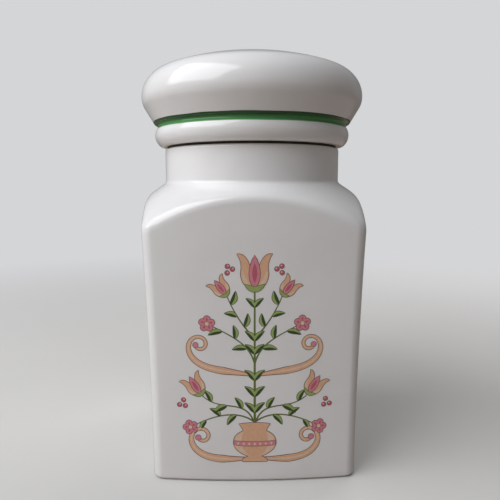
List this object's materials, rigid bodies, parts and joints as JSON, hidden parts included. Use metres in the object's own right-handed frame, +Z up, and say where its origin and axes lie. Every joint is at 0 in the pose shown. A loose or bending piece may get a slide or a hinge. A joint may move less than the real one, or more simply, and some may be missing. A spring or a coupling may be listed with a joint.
{
  "type": "food canister",
  "caption": "Square ceramic storage jar with rounded edges and a round neck, closed by a wide mushroom-shaped lid whose open plug carries a rubber seal, for dry food.",
  "frame": {"origin": "on the surface the canister stands on, under the middle of the jar", "axes": "+Z up along the axis of the neck and lid, -Y out of the front face, +X to the right seen from the front"},
  "size_m": [0.1448, 0.1448, 0.2608],
  "materials": {
    "jar_glaze": "glossy white glaze",
    "lid_glaze": "glossy white glaze with a green band in the groove",
    "seal_rubber": "matt black"
  },
  "bodies": {
    "jar_body": {"jar": "jar_glaze"},
    "seal_body": {"lid_seal": "seal_rubber"},
    "lid_body": {"lid": "lid_glaze"}
  },
  "joints": [
    {"name": "lid_lift", "type": "slide", "parent": "jar_body", "child": "seal_body", "axis": [0, 0, 1], "range_m": [0, 0.08]},
    {"name": "lid_turn", "type": "hinge", "parent": "seal_body", "child": "lid_body", "pos_m": [0, 0, 0.2022], "axis": [0, 0, 1], "continuous": true}
  ]
}
